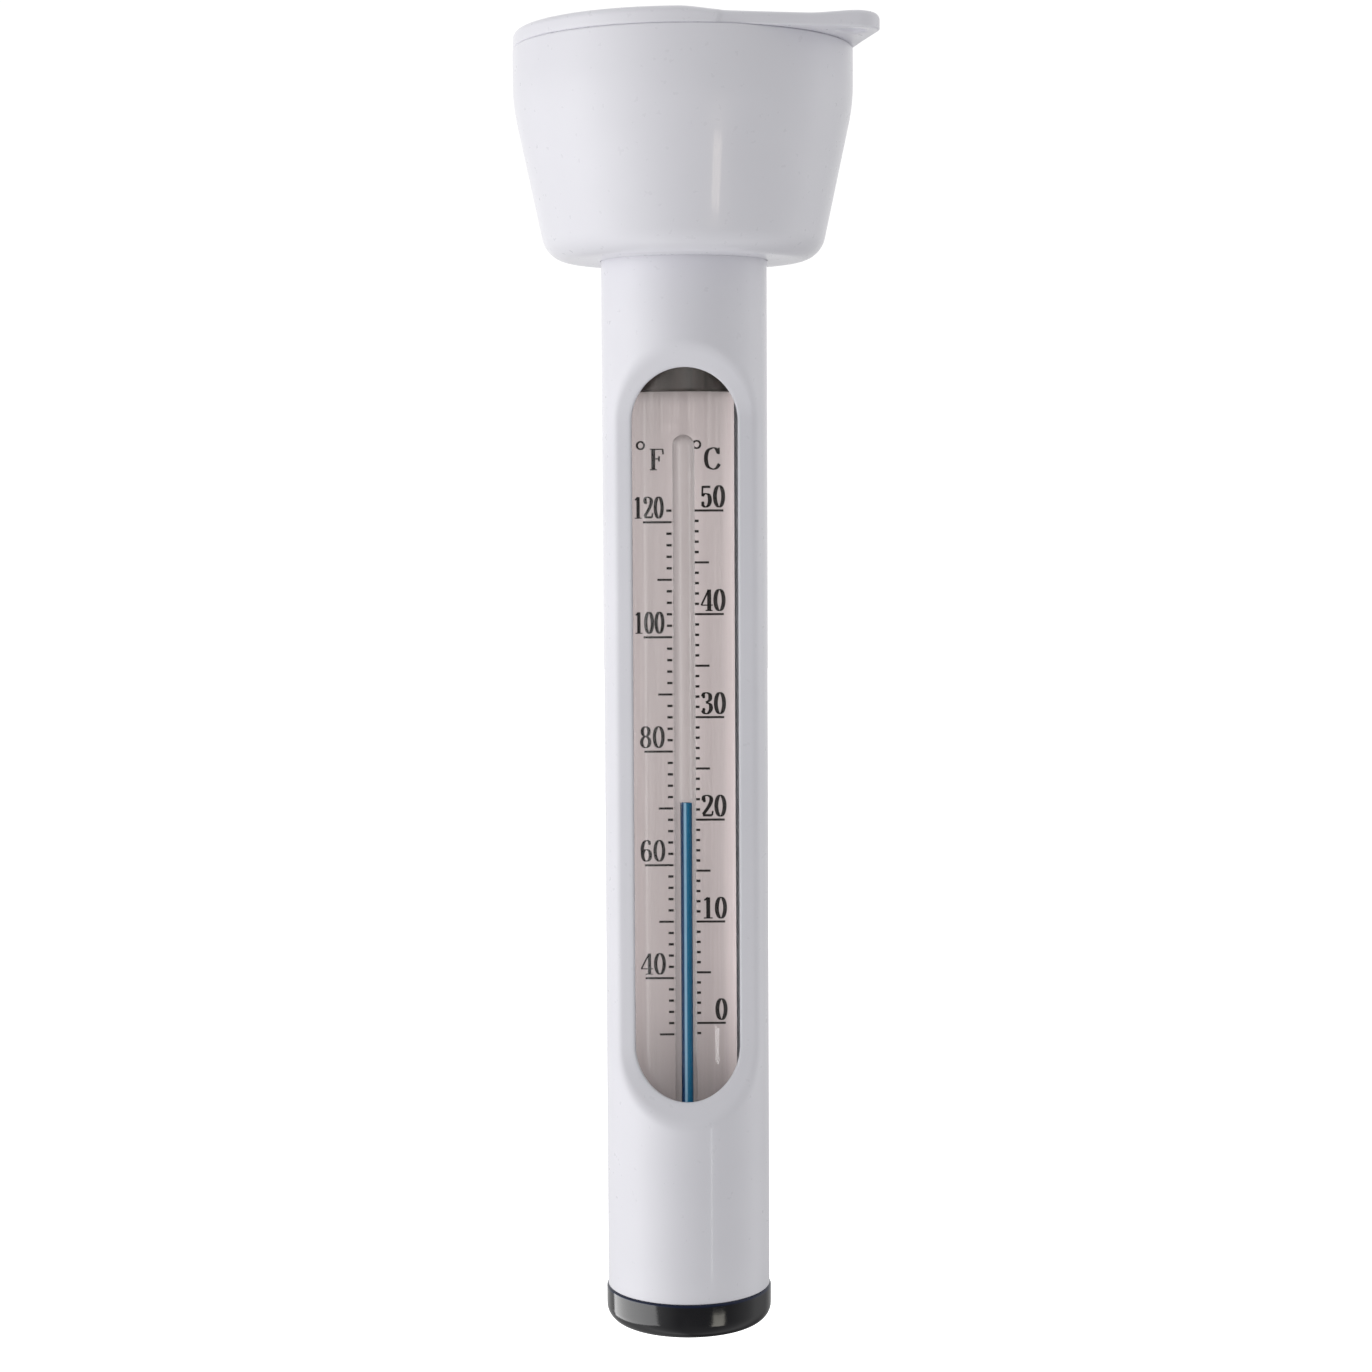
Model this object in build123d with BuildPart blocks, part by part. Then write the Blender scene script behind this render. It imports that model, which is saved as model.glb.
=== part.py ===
"""Floating pool thermometer.

A hollow float bowl with a lid carries a long body tube.  A window in the tube shows
a sealed sight tube, which holds a printed metal scale and a spirit thermometer.  A
weighted end cap closes the foot and keeps the thermometer upright in the water.

Millimetres.  The origin is the middle of the end cap's flat foot, +Z runs up the
body tube and the window faces -Y.
"""
from build123d import *
from math import cos, pi, radians, sin, sqrt, tan
import os

os.makedirs("parts", exist_ok=True)

# ---- body tube ----
tube_radius = 11.2
tube_wall = 2.5
tube_bore = tube_radius - tube_wall
tube_bottom = 5.0
web_bottom = 141.2
web_thickness = 1.8

# ---- window in the tube ----
window_half_width = 7.1
window_bottom = 32.3
window_top = 131.1
bevel_width = 2.4
lip_thickness = 0.45

# ---- float bowl and its joint with the tube ----
bowl_bottom = 145.65
bowl_wall = 2.0
bowl_radius = 22.85
bowl_draft = 12.0
bowl_foot_radius = 18.44
bowl_foot_fillet = 3.75
bowl_shoulder_fillet = 25.0
seam_height = 173.8
floor_hole_radius = tube_radius + 0.1
gasket_thickness = 0.8
flange_radius = 15.4
flange_thickness = 1.8

# ---- lid, tether tab and seal ----
lid_top = 176.0
lid_radius = 22.8
skirt_depth = 4.2
skirt_wall = 2.5
tab_angle = -35.0
tab_reach = 26.5
tab_tip_radius = 3.7
tether_hole_radius = 1.9
seal_section = 0.7

# ---- end cap and ballast ----
cap_radius = 11.4
cap_foot_fillet = 2.3
cap_floor = 2.0
spigot_radius = tube_bore - 0.1
spigot_top = 12.5
spigot_wall = 2.2
cap_ring_height = 9.0
cap_ring_section = 0.65

# ---- sight tube and its stoppers: the whole insert stands a little to one side ----
insert_x = -0.3
sight_radius = 8.3
sight_wall = 0.75
sight_bore = sight_radius - sight_wall
sight_bottom = 15.6
sight_top = 137.2
stopper_head_radius = 8.3
pad_bottom = 12.6
pad_top = 13.8
lower_stopper_top = 18.2
upper_stopper_bottom = 128.2

# ---- scale plate ----
plate_front = 0.5
plate_thickness = 0.6
plate_half_width = 6.98
plate_notch_half_width = 3.2
plate_notch_top = 27.0

# ---- glass thermometer ----
stem_radius = 1.5
stem_x = -0.2
stem_y = plate_front - stem_radius - 0.05
stem_top = 122.1
stem_bore = 0.60
bulb_radius = 2.5
bulb_wall = 0.5
bulb_bottom = 18.5
bulb_shoulder = 24.4
neck_height = 26.6
column_radius = 0.56
column_top = 72.2
reservoir_top = 26.0
bore_top = 119.6
clip_bottom = 27.5
clip_height = 1.6
clip_gauge = 0.3
clip_foot = 1.2

# worked out from the sizes above
spine = Axis.Z
draft = tan(radians(bowl_draft))
shoulder_height = bowl_bottom + (bowl_radius - bowl_foot_radius) / draft
gasket_bottom = bowl_bottom + bowl_wall
flange_bottom = gasket_bottom + gasket_thickness
flange_top = flange_bottom + flange_thickness
web_top = web_bottom + web_thickness
tab_centre = (tab_reach * cos(radians(tab_angle)), tab_reach * sin(radians(tab_angle)))
skirt_radius = bowl_radius - bowl_wall - 0.1
skirt_bottom = seam_height - skirt_depth
seal_height = skirt_bottom + skirt_depth / 2
seal_centre = bowl_radius - bowl_wall - seal_section
cap_ring_centre = tube_bore - cap_ring_section


def publish(part, label):
    """Name a finished piece and write its STEP file."""
    part.label = label
    export_step(part, f"parts/{label}.step")


def window_cutter():
    """The window as a solid: a straight opening whose bevel widens as it comes out.

    Each side of it runs through four outlines, from inside the bore to outside the
    tube.  Two of them lie on cylinders, so the bevel keeps one width all round.
    """
    lip = tube_bore + lip_thickness
    outside = tube_radius + 1.2
    spread = bevel_width * (outside - lip) / (tube_radius - lip)
    arc_low = window_bottom + window_half_width
    arc_high = window_top - window_half_width
    levels = (
        (window_half_width, lambda x: -2.0),
        (window_half_width, lambda x: -sqrt(lip**2 - x**2)),
        (window_half_width + spread, lambda x: -sqrt(outside**2 - x**2)),
        (window_half_width + spread, lambda x: -outside - 1.5),
    )

    def outline(width, depth):
        """The four edges of a round-ended slot: right side, top, left side, bottom."""

        def point(x, z):
            return (x, depth(x), z)

        def arc(centre, first):
            steps = [radians(first + 180 * i / 16) for i in range(17)]
            return Edge.make_spline([point(width * cos(a), centre + width * sin(a)) for a in steps])

        right = Edge.make_line(point(width, arc_low), point(width, arc_high))
        left = Edge.make_line(point(-width, arc_high), point(-width, arc_low))
        return [right, arc(arc_high, 0), left, arc(arc_low, 180)]

    rings = [outline(width, depth) for width, depth in levels]
    faces = []
    for inner, outer in zip(rings, rings[1:]):
        faces += [Face.make_surface_from_curves(a, b) for a, b in zip(inner, outer)]
    faces += [Face(Wire(rings[0])), Face(Wire(rings[-1]))]
    return Solid(Shell(faces))


# ---------------------------------------------------------------- float bowl
with BuildPart() as float_bowl:
    inner_offset = bowl_wall / cos(radians(bowl_draft))
    floor_top = bowl_bottom + bowl_wall
    inner_foot = bowl_foot_radius + bowl_wall * draft - inner_offset
    inner_radius = bowl_radius - bowl_wall
    inner_shoulder = floor_top + (inner_radius - inner_foot) / draft
    with BuildSketch(Plane.XZ):
        with BuildLine():
            Polyline(
                (floor_hole_radius, bowl_bottom),
                (bowl_foot_radius, bowl_bottom),
                (bowl_radius, shoulder_height),
                (bowl_radius, seam_height),
                (inner_radius, seam_height),
                (inner_radius, inner_shoulder),
                (inner_foot, floor_top),
                (floor_hole_radius, floor_top),
                close=True,
            )
        make_face()
        fillet(vertices().sort_by_distance((bowl_foot_radius, bowl_bottom))[0], bowl_foot_fillet)
        fillet(
            vertices().sort_by_distance((bowl_radius, shoulder_height))[0],
            bowl_shoulder_fillet,
        )
        fillet(vertices().sort_by_distance((inner_foot, floor_top))[0], 2.0)
    revolve(axis=spine)
    rim = edges().filter_by(GeomType.CIRCLE).group_by(Axis.Z)[-1].sort_by(SortBy.RADIUS)[-1]
    chamfer(rim, 0.3)

# ---------------------------------------------------------------- lid
with BuildPart() as float_lid:
    with BuildSketch(Plane.XY.offset(seam_height)):
        Circle(lid_radius)
        with Locations(tab_centre):
            Circle(tab_tip_radius)
        make_hull()
    extrude(amount=lid_top - seam_height)
    fillet(edges().group_by(Axis.Z)[-1], 0.9)
    fillet(faces().sort_by(Axis.Z)[0].edges(), 0.25)
    with BuildSketch(Plane.XY.offset(skirt_bottom)):
        Circle(skirt_radius)
        Circle(skirt_radius - skirt_wall, mode=Mode.SUBTRACT)
    extrude(amount=skirt_depth)
    with BuildSketch(Plane.XZ):
        with Locations((skirt_radius, seal_height)):
            Rectangle(2 * (skirt_radius - seal_centre + seal_section), 2 * seal_section + 0.3)
    revolve(axis=spine, mode=Mode.SUBTRACT)
    with Locations((*tab_centre, lid_top)):
        Hole(tether_hole_radius)

with BuildPart() as lid_seal:
    with BuildSketch(Plane.XZ):
        with Locations((seal_centre, seal_height)):
            Circle(seal_section)
    revolve(axis=spine)

# ---------------------------------------------------------------- body tube
with BuildPart() as body_tube:
    with BuildSketch(Plane.XZ):
        with BuildLine():
            Polyline(
                (tube_bore, tube_bottom),
                (tube_radius, tube_bottom),
                (tube_radius, flange_bottom),
                (flange_radius, flange_bottom),
                (flange_radius, flange_top),
                (tube_bore, flange_top),
                (tube_bore, web_top),
                (0, web_top),
                (0, web_bottom),
                (tube_bore, web_bottom),
                close=True,
            )
        make_face()
    revolve(axis=spine)
    foot_rim = edges().filter_by(GeomType.CIRCLE).group_by(Axis.Z)[0].sort_by(SortBy.RADIUS)[-1]
    fillet(foot_rim, 0.2)
    add(window_cutter(), mode=Mode.SUBTRACT)

with BuildPart() as flange_gasket:
    with BuildSketch(Plane.XY.offset(gasket_bottom)):
        Circle(flange_radius - 0.2)
        Circle(floor_hole_radius + 0.1, mode=Mode.SUBTRACT)
    extrude(amount=gasket_thickness)

# ---------------------------------------------------------------- end cap
with BuildPart() as end_cap:
    with BuildSketch(Plane.XZ):
        with BuildLine():
            Polyline(
                (0, 0),
                (cap_radius, 0),
                (cap_radius, tube_bottom),
                (spigot_radius, tube_bottom),
                (spigot_radius, spigot_top),
                (spigot_radius - spigot_wall, spigot_top),
                (spigot_radius - spigot_wall, cap_floor),
                (0, cap_floor),
                close=True,
            )
        make_face()
        fillet(vertices().sort_by_distance((cap_radius, 0))[0], cap_foot_fillet)
        fillet(vertices().sort_by_distance((cap_radius, tube_bottom))[0], 0.25)
    revolve(axis=spine)
    with BuildSketch(Plane.XZ):
        with Locations((spigot_radius, cap_ring_height)):
            Rectangle(
                2 * (spigot_radius - cap_ring_centre + cap_ring_section),
                2 * cap_ring_section + 0.3,
            )
    revolve(axis=spine, mode=Mode.SUBTRACT)

with BuildPart() as cap_o_ring:
    with BuildSketch(Plane.XZ):
        with Locations((cap_ring_centre, cap_ring_height)):
            Circle(cap_ring_section)
    revolve(axis=spine)

with BuildPart() as ballast_weight:
    with BuildSketch(Plane.XY.offset(cap_floor)):
        Circle(spigot_radius - spigot_wall - 0.05)
    extrude(amount=spigot_top - cap_floor - 0.2)
    chamfer(edges().filter_by(GeomType.CIRCLE), 0.5)

# ---------------------------------------------------------------- sight tube insert
with BuildPart() as cushion_pad:
    with BuildSketch(Plane.XY.offset(pad_bottom)):
        Circle(stopper_head_radius)
    extrude(amount=pad_top - pad_bottom)

with BuildPart() as lower_stopper:
    with BuildSketch(Plane.XY.offset(pad_top)):
        with Locations((insert_x, 0)):
            Circle(stopper_head_radius)
    extrude(amount=sight_bottom - pad_top)
    fillet(edges().group_by(Axis.Z)[-1], 0.4)
    with BuildSketch(Plane.XY.offset(sight_bottom)):
        with Locations((insert_x, 0)):
            Circle(sight_bore)
    extrude(amount=lower_stopper_top - sight_bottom)
    chamfer(edges().group_by(Axis.Z)[-1], 0.4)

with BuildPart() as upper_stopper:
    with BuildSketch(Plane.XY.offset(upper_stopper_bottom)):
        with Locations((insert_x, 0)):
            Circle(sight_bore)
    extrude(amount=sight_top - upper_stopper_bottom)
    with BuildSketch(Plane.XY.offset(sight_top)):
        with Locations((insert_x, 0)):
            Circle(stopper_head_radius)
    extrude(amount=web_bottom - sight_top)
    fillet(edges().group_by(Axis.Z)[-1], 0.8)

with BuildPart() as sight_tube:
    with BuildSketch(Plane.XY.offset(sight_bottom)):
        with Locations((insert_x, 0)):
            Circle(sight_radius)
            Circle(sight_bore, mode=Mode.SUBTRACT)
    extrude(amount=sight_top - sight_bottom)

# ---------------------------------------------------------------- scale plate
plate_plane = Plane.XZ.offset(-plate_front)
clip_leg = stem_radius + clip_gauge / 2 + 0.05
clip_middle = clip_bottom + clip_height / 2
with BuildPart() as scale_plate:
    with BuildSketch(plate_plane):
        with Locations((insert_x, (lower_stopper_top + upper_stopper_bottom) / 2)):
            Rectangle(2 * plate_half_width, upper_stopper_bottom - lower_stopper_top)
        with Locations((stem_x, (lower_stopper_top + plate_notch_top) / 2)):
            Rectangle(
                2 * plate_notch_half_width,
                plate_notch_top - lower_stopper_top,
                mode=Mode.SUBTRACT,
            )
        with Locations((stem_x - clip_leg, clip_middle), (stem_x + clip_leg, clip_middle)):
            Rectangle(clip_gauge + 0.1, clip_height + 0.1, mode=Mode.SUBTRACT)
    extrude(amount=-plate_thickness)

# ---------------------------------------------------------------- glass thermometer
glass_plane = Plane((stem_x, stem_y, 0), x_dir=(1, 0, 0), z_dir=(0, -1, 0))
glass_axis = Axis((stem_x, stem_y, 0), (0, 0, 1))
with BuildPart() as glass_stem:
    inner_bulb = bulb_radius - bulb_wall
    with BuildSketch(glass_plane):
        with BuildLine():
            Line((0, bulb_bottom), (0, bulb_bottom + bulb_wall))
            RadiusArc(
                (0, bulb_bottom + bulb_wall),
                (inner_bulb, bulb_bottom + bulb_radius),
                -inner_bulb,
            )
            Polyline(
                (inner_bulb, bulb_bottom + bulb_radius),
                (inner_bulb, bulb_shoulder),
                (stem_bore, reservoir_top),
                (stem_bore, bore_top),
                (0, bore_top),
                (0, stem_top),
            )
            RadiusArc((0, stem_top), (stem_radius, stem_top - stem_radius), stem_radius)
            Polyline(
                (stem_radius, stem_top - stem_radius),
                (stem_radius, neck_height),
                (bulb_radius, bulb_shoulder),
                (bulb_radius, bulb_bottom + bulb_radius),
            )
            RadiusArc(
                (bulb_radius, bulb_bottom + bulb_radius),
                (0, bulb_bottom),
                bulb_radius,
            )
        make_face()
    revolve(axis=glass_axis)

with BuildPart() as spirit_reservoir:
    with BuildSketch(glass_plane):
        with BuildLine():
            RadiusArc(
                (0, bulb_bottom + bulb_wall),
                (inner_bulb, bulb_bottom + bulb_radius),
                -inner_bulb,
            )
            Polyline(
                (inner_bulb, bulb_bottom + bulb_radius),
                (inner_bulb, bulb_shoulder),
                (stem_bore, reservoir_top),
                (0, reservoir_top),
                (0, bulb_bottom + bulb_wall),
            )
        make_face()
    revolve(axis=glass_axis)

with BuildPart() as spirit_column:
    with BuildSketch(Plane.XY.offset(reservoir_top)):
        with Locations((stem_x, stem_y)):
            Circle(column_radius)
    extrude(amount=column_top - reservoir_top)

with BuildPart() as stem_clip:
    leg_back = plate_front + plate_thickness + clip_gauge / 2
    with BuildSketch(Plane((stem_x, 0, clip_bottom))):
        with BuildLine():
            Line((-clip_leg - clip_foot, leg_back), (-clip_leg, leg_back))
            Line((-clip_leg, leg_back), (-clip_leg, stem_y))
            ThreePointArc((-clip_leg, stem_y), (0, stem_y - clip_leg), (clip_leg, stem_y))
            Line((clip_leg, stem_y), (clip_leg, leg_back))
            Line((clip_leg, leg_back), (clip_leg + clip_foot, leg_back))
            offset(amount=clip_gauge / 2, side=Side.BOTH)
        make_face()
    extrude(amount=clip_height)

# ---------------------------------------------------------------- written pieces
publish(float_bowl.part, "float_bowl")
publish(float_lid.part, "float_lid")
publish(lid_seal.part, "lid_seal")
publish(body_tube.part, "body_tube")
publish(flange_gasket.part, "flange_gasket")
publish(end_cap.part, "end_cap")
publish(cap_o_ring.part, "cap_o_ring")
publish(ballast_weight.part, "ballast_weight")
publish(cushion_pad.part, "cushion_pad")
publish(lower_stopper.part, "lower_stopper")
publish(upper_stopper.part, "upper_stopper")
publish(sight_tube.part, "sight_tube")
publish(scale_plate.part, "scale_plate")
publish(glass_stem.part, "glass_stem")
publish(spirit_reservoir.part, "spirit_reservoir")
publish(spirit_column.part, "spirit_column")
publish(stem_clip.part, "stem_clip")
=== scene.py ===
"""The looks of a floating pool thermometer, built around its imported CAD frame.

Shapes are worked out in millimetres and scaled to Blender's metres when a mesh is made.
+Z runs up the body tube, the window faces -Y, and the scale's Celsius side is at +X.
"""
from math import acos, asin, atan2, ceil, cos, hypot, pi, radians, sin, sqrt, tan

import bmesh
import bpy
from mathutils import Matrix, Vector
from mathutils.geometry import delaunay_2d_cdt

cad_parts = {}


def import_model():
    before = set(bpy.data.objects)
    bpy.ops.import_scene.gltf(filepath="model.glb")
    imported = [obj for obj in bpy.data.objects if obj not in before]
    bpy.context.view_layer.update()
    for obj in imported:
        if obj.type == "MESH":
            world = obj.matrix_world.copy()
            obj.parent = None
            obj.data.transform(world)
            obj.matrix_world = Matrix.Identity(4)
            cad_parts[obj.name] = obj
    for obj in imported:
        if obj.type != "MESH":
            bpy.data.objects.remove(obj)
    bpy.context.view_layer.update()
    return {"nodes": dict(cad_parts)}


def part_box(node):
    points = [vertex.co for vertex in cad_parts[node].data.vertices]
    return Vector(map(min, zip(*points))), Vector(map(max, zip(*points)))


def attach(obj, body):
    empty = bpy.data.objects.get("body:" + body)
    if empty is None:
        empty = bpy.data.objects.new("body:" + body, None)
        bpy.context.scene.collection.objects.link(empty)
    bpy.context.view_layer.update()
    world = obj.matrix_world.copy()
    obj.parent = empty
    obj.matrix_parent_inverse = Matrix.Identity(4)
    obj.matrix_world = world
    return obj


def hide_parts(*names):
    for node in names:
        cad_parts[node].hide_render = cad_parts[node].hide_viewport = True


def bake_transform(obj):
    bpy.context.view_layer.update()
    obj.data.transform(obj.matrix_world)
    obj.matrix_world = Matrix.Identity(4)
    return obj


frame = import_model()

MM = 0.001
WELD = 1e-6  # points nearer than this, in metres, are one point
CUT_CLOSENESS = 1e-7


def cad_box(node):
    """A CAD node's lowest and highest corners, in millimetres."""
    low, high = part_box(node)
    return low / MM, high / MM


# ---------------- sizes, in millimetres
bowl_low, bowl_high = cad_box("float_bowl")
lid_low, lid_high = cad_box("float_lid")
_, cap_high = cad_box("end_cap")
tube_low, tube_high = cad_box("body_tube")
sight_low, sight_high = cad_box("sight_tube")
plate_low, plate_high = cad_box("scale_plate")
stem_low, stem_high = cad_box("glass_stem")
_, column_high = cad_box("spirit_column")
upper_low, upper_high = cad_box("upper_stopper")

# body tube and its window
TUBE_RADIUS = 11.2
TUBE_BORE = 8.7
FLANGE_RADIUS = tube_high.x
FLANGE_THICKNESS = 1.8
WEB_BOTTOM = 141.2
WEB_TOP = 143.0
WINDOW_HALF = 7.1
WINDOW_BOTTOM = 32.3
WINDOW_TOP = 131.1
BEVEL_WIDTH = 2.7
BEVEL_SOFT = 0.95
LIP_DEPTH = 5.8
LIP_ROUND = 0.35
LIP_FALL = 0.2

# float bowl and lid
BOWL_RADIUS = bowl_high.x
BOWL_WALL = 2.0
BOWL_DRAFT = tan(radians(12.0))
BOWL_FOOT = 18.44
FLOOR_HOLE = 11.3
SEAM = bowl_high.z
LID_TOP = lid_high.z
LID_RADIUS = -lid_low.x
TAB_ANGLE = radians(-35.0)
TAB_REACH = 26.5
TAB_TIP = 3.7
TAB_CENTRE = (TAB_REACH * cos(TAB_ANGLE), TAB_REACH * sin(TAB_ANGLE))
TETHER_HOLE = 1.9
SKIRT_RADIUS = 20.75
SKIRT_WALL = 2.5
GROOVE_ROOM = 0.15

# end cap
CAP_FLOOR = 2.0

# insert
INSERT_X = (sight_low.x + sight_high.x) / 2
SIGHT_RADIUS = (sight_high.x - sight_low.x) / 2
SIGHT_WALL = 0.75
PLATE_FRONT = plate_low.y
PLATE_RIGHT = plate_high.x + 0.12
PLATE_TOP = plate_high.z - 0.3
STEM_X = (stem_low.x + stem_high.x) / 2
STEM_Y = (stem_low.y + stem_high.y) / 2
STEM_RADIUS = 1.5
BULB_RADIUS = (stem_high.x - stem_low.x) / 2
NECK = 26.6
BULB_SHOULDER = 24.4
THREAD_X = STEM_X + 0.1
THREAD_RADIUS = 0.59

# printed scale
ZERO_HEIGHT = 41.52
DEGREE = 1.4058
INK = 0.02  # how far the print stands out of the plate
INK_ROOT = -0.005
NUMERAL_HEIGHT = 2.98


# ---------------- mesh tools
def rounded(corners, steps=8):
    """An outline through (across, up, rounding) corners, with an arc at each rounding."""
    points = []
    for i, (across, up, rounding) in enumerate(corners):
        here = Vector((across, up))
        if rounding == 0:
            points.append(here)
            continue
        back = (Vector(corners[i - 1][:2]) - here).normalized()
        ahead = (Vector(corners[(i + 1) % len(corners)][:2]) - here).normalized()
        half = acos(max(-1.0, min(1.0, back.dot(ahead)))) / 2
        centre = here + (back + ahead).normalized() * (rounding / sin(half))
        start = here + back * (rounding / tan(half)) - centre
        end = here + ahead * (rounding / tan(half)) - centre
        turn = atan2(start.x * end.y - start.y * end.x, start.dot(end))
        for step in range(steps + 1):
            points.append(centre + Matrix.Rotation(turn * step / steps, 2) @ start)
    return points


def refined(points, longest):
    """The same open outline with its long stretches cut into shorter ones."""
    result = [points[0]]
    for a, b in zip(points, points[1:]):
        parts = max(1, ceil((b - a).length / longest))
        result += [a.lerp(b, i / parts) for i in range(1, parts + 1)]
    return result


class Shell:
    """Vertices and faces gathered for one piece, in millimetres."""

    def __init__(self):
        self.points = []
        self.faces = []

    def add(self, points, faces):
        base = len(self.points)
        self.points += [tuple(p) for p in points]
        self.faces += [tuple(base + i for i in face) for face in faces]

    def strip(self, loops, closed=True):
        """Quads between loops that have the same number of points."""
        count = len(loops[0])
        points = [p for loop in loops for p in loop]
        faces = []
        for row in range(len(loops) - 1):
            for i in range(count if closed else count - 1):
                j = (i + 1) % count
                low, high = row * count, (row + 1) * count
                faces.append((low + i, low + j, high + j, high + i))
        self.add(points, faces)

    def fan(self, loop, centre):
        """Triangles from a closed loop to its centre."""
        count = len(loop)
        faces = [(i, (i + 1) % count, count) for i in range(count)]
        self.add([*loop, centre], faces)

    def lathe(self, outline, centre=(0.0, 0.0), segments=160, closed=False):
        """An outline of (radius, height) turned round a vertical axis through centre."""
        turns = [2 * pi * i / segments for i in range(segments)]
        stretch = []
        for radius, height in [*outline, outline[0]] if closed else outline:
            if radius < WELD:
                pole = (centre[0], centre[1], height)
                if stretch:
                    self.strip(stretch)
                    self.fan(stretch[-1], pole)
                    stretch = []
                first_pole = pole
                continue
            ring = [
                (centre[0] + radius * cos(a), centre[1] + radius * sin(a), height) for a in turns
            ]
            if not stretch and not closed:
                self.fan(ring, first_pole)
            stretch.append(ring)
        if stretch:
            self.strip(stretch)

    def slab(self, outline, holes, heights, spacing, place):
        """A flat plate between two faces: outline and holes as loops of (u, v)."""
        points, triangles, rims = triangulate(outline, holes, spacing)
        for side in (0, 1):
            self.add([place(u, v, heights[side]) for u, v in points], triangles)
        for rim in rims:
            self.strip([[place(*points[i], h) for i in rim] for h in heights])

    def piece(self, name, material, body, slot, sharp=32.0):
        """Make the object: welded, facing outwards, smooth but for its sharp edges."""
        work = bmesh.new()
        verts = [work.verts.new(Vector(p) * MM) for p in self.points]
        for face in self.faces:
            if len(set(face)) > 2:
                try:
                    work.faces.new([verts[i] for i in face])
                except ValueError:
                    pass
        bmesh.ops.remove_doubles(work, verts=work.verts, dist=WELD)
        bmesh.ops.dissolve_degenerate(work, edges=work.edges, dist=WELD / 4)
        bmesh.ops.recalc_face_normals(work, faces=work.faces)
        mesh = bpy.data.meshes.new(name)
        work.to_mesh(mesh)
        work.free()
        mesh.shade_smooth()
        mesh.set_sharp_from_angle(angle=radians(sharp))
        mesh.materials.append(material)
        made = bpy.data.objects.new(name, mesh)
        bpy.context.scene.collection.objects.link(made)
        if body:
            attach(made, body)
        return made


def triangulate(outline, holes, spacing):
    """Triangles inside the outline and outside the holes, with a grid of points between.

    Returns the points, the triangles and the loops as lists of point numbers.
    """
    points = []
    rims = []
    for loop in [outline, *holes]:
        rims.append(list(range(len(points), len(points) + len(loop))))
        points += [Vector(p) for p in loop]
    edges = [(rim[i - 1], rim[i]) for rim in rims for i in range(len(rim))]
    outer, *inner = ([points[i] for i in rim] for rim in rims)

    def on_sheet(spot):
        return inside(spot, outer) and not any(inside(spot, loop) for loop in inner)

    left, right = min(p.x for p in outer), max(p.x for p in outer)
    low, high = min(p.y for p in outer), max(p.y for p in outer)
    margin = spacing * 0.6
    grid = []
    for row in range(1, ceil((high - low) / spacing)):
        for column in range(1, ceil((right - left) / spacing)):
            shift = spacing / 2 * (row % 2)
            spot = Vector((left + column * spacing + shift, low + row * spacing))
            if on_sheet(spot) and min((spot - p).length for p in points) > margin:
                grid.append(spot)
    made, _, faces, *_ = delaunay_2d_cdt(points + grid, edges, [], 0, CUT_CLOSENESS)
    kept = []
    for face in faces:
        middle = sum((made[i] for i in face), Vector((0.0, 0.0))) / len(face)
        if on_sheet(middle):
            kept.append(tuple(face))
    return made, kept, rims


def quarter(steps):
    """The sine and cosine at even steps of a quarter turn."""
    turns = [radians(90 * step / steps) for step in range(steps + 1)]
    return [(sin(a), cos(a)) for a in turns]


def smooth(t):
    """An even rise from 0 to 1 that starts and ends level."""
    return t * t * (3 - 2 * t)


def inside(spot, loop):
    """Whether a point lies inside a closed loop."""
    crossings = 0
    for a, b in zip(loop, loop[1:] + loop[:1]):
        if (a.y > spot.y) != (b.y > spot.y):
            if spot.x < a.x + (spot.y - a.y) * (b.x - a.x) / (b.y - a.y):
                crossings += 1
    return crossings % 2 == 1


def circle(centre, radius, steps):
    """Points of a circle in plan."""
    turns = [2 * pi * i / steps for i in range(steps)]
    return [(centre[0] + radius * cos(a), centre[1] + radius * sin(a)) for a in turns]


# ---------------- material tools
class Tree:
    """A short way to write a node tree."""

    def __init__(self, tree):
        self.tree = tree

    def node(self, kind, **values):
        made = self.tree.nodes.new(kind)
        for key, value in values.items():
            setattr(made, key, value)
        return made

    def link(self, out, into):
        self.tree.links.new(out, into)

    def ramp(self, fac, stops):
        """A colour ramp from (position, colour or grey) stops."""
        made = self.node("ShaderNodeValToRGB")
        elements = made.color_ramp.elements
        while len(elements) < len(stops):
            elements.new(0.5)
        for element, (position, colour) in zip(elements, stops):
            element.position = position
            grey = isinstance(colour, (int, float))
            element.color = (colour,) * 3 + (1.0,) if grey else (*colour, 1.0)
        self.link(fac, made.inputs["Fac"])
        return made.outputs["Color"]

    def range(self, value, low, high, to_low, to_high):
        made = self.node("ShaderNodeMapRange")
        limits = {"From Min": low, "From Max": high, "To Min": to_low, "To Max": to_high}
        for key, number in limits.items():
            made.inputs[key].default_value = number
        self.link(value, made.inputs["Value"])
        return made.outputs["Result"]

    def mix(self, fac, first, second, blend="MIX"):
        """Mix two colours, each a socket or a plain colour."""
        made = self.node("ShaderNodeMix", data_type="RGBA", blend_type=blend)
        for number, value in {0: fac, 6: first, 7: second}.items():
            socket = made.inputs[number]
            if isinstance(value, bpy.types.NodeSocket):
                self.link(value, socket)
            elif isinstance(value, tuple):
                socket.default_value = (*value, 1.0)
            else:
                socket.default_value = value
        return made.outputs[2]

    def split(self, vector):
        """A vector's X, Y and Z."""
        made = self.node("ShaderNodeSeparateXYZ")
        self.link(vector, made.inputs["Vector"])
        return made.outputs


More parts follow.
